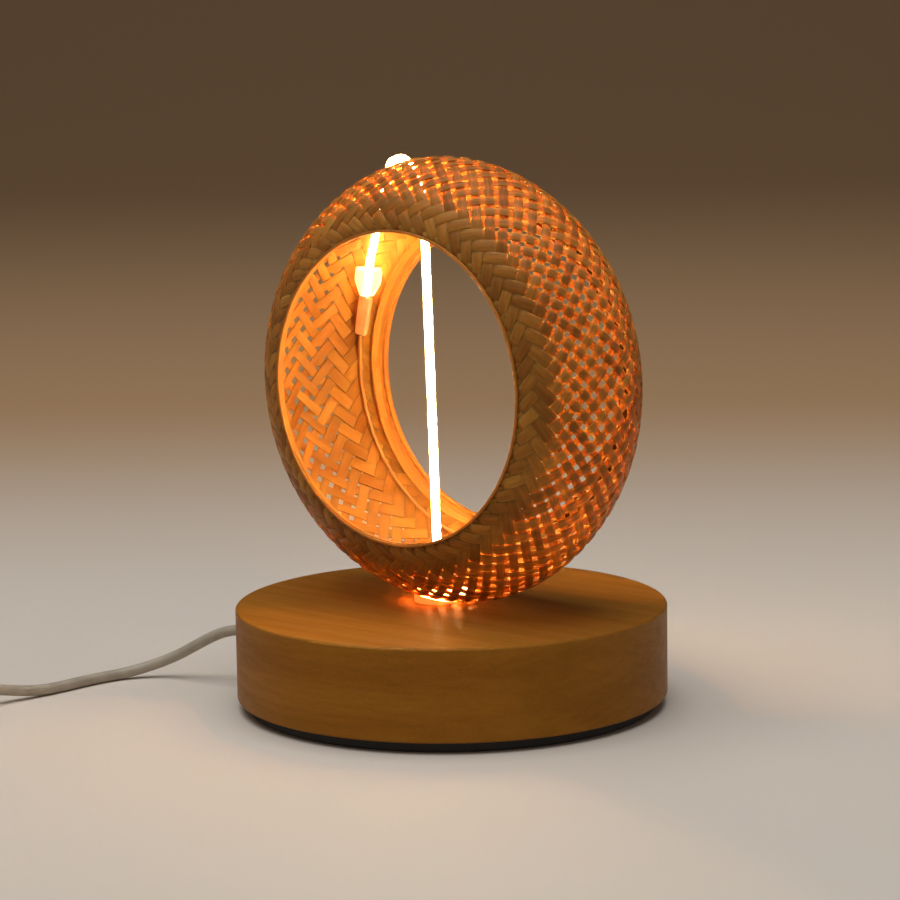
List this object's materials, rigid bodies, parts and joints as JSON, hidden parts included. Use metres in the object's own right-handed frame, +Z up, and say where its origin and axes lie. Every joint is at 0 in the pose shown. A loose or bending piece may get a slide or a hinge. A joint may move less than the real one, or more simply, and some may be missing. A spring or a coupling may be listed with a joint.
{
  "type": "table lamp",
  "caption": "Table lamp with a woven bamboo ring on a round wooden base, a flexible light filament hooked through the ring, and a cord with a rocker switch.",
  "frame": {"origin": "middle of the foot pad's underside, where the lamp stands on the table", "axes": "+Z up, the ring's axis along Y with the pictured opening facing -Y, +X to the right"},
  "size_m": [0.142, 0.208, 0.1272],
  "materials": {
    "base_wood": "satin lacquer",
    "cover_board": "plain board",
    "steel": "plain",
    "pad_dark": "matte",
    "board_green": "satin",
    "component_black": "matte",
    "capacitor_blue": "gloss",
    "nylon_white": "satin",
    "wire_red": "satin",
    "wire_yellow": "satin",
    "cord_grey": "satin",
    "grommet_grey": "matte",
    "brass": "plain",
    "nylon_frosted": "frosted, lit by the filament inside it",
    "bamboo_weave": "satin split bamboo",
    "bamboo_hoop": "satin split bamboo",
    "filament_glow": "glowing, lit",
    "sleeve_clear": "translucent",
    "sleeve_flesh": "satin",
    "switch_white": "fine satin",
    "rocker_grey": "satin",
    "tie_dark": "woven tape"
  },
  "bodies": {
    "lamp": {"wood_base": "base_wood", "base_cover": "cover_board", "cover_screws": "steel", "foot_pad": "pad_dark", "driver_board": "board_green", "driver_chip": "component_black", "driver_resistors": "component_black", "driver_capacitor": "capacitor_blue", "board_spacers": "nylon_white", "board_screws": "steel", "supply_wires": "wire_red", "filament_leads": "wire_yellow", "cord_clamp": "nylon_white", "clamp_screws": "steel", "cord_grommet": "grommet_grey", "cord_inlet": "cord_grey", "stem": "nylon_frosted", "stem_washer": "steel", "stem_lower_nut": "brass", "stem_upper_nut": "nylon_frosted", "lower_saddle": "nylon_frosted", "upper_saddle": "nylon_frosted", "stem_bush": "nylon_frosted", "woven_wall": "bamboo_weave", "front_rim_hoop": "bamboo_hoop", "rear_rim_hoop": "bamboo_hoop", "led_filament": "filament_glow", "filament_ferrules": "steel", "clear_sleeve": "sleeve_clear", "joint_sleeve": "sleeve_flesh", "return_lead": "wire_yellow", "cord_lamp_side": "cord_grey", "switch_cord_ends": "cord_grey", "switch_lower_shell": "switch_white", "switch_upper_shell": "switch_white", "rocker_pin": "steel", "switch_contacts": "brass", "switch_wires": "wire_red", "switch_screws": "steel", "cord_to_coil": "cord_grey", "cord_coil": "cord_grey", "coil_tie": "tie_dark", "cord_plug_end": "cord_grey", "plug_body": "switch_white", "plug_shell": "steel", "plug_tongue": "component_black", "plug_contacts": "brass"},
    "rocker": {"switch_rocker": "rocker_grey"}
  },
  "joints": [
    {"name": "switch_rocker_tilt", "type": "hinge", "parent": "lamp", "child": "rocker", "pos_m": [-0.084, -0.091, 0.0076], "axis": [1, 0, 0], "range_deg": [0, 14]}
  ]
}
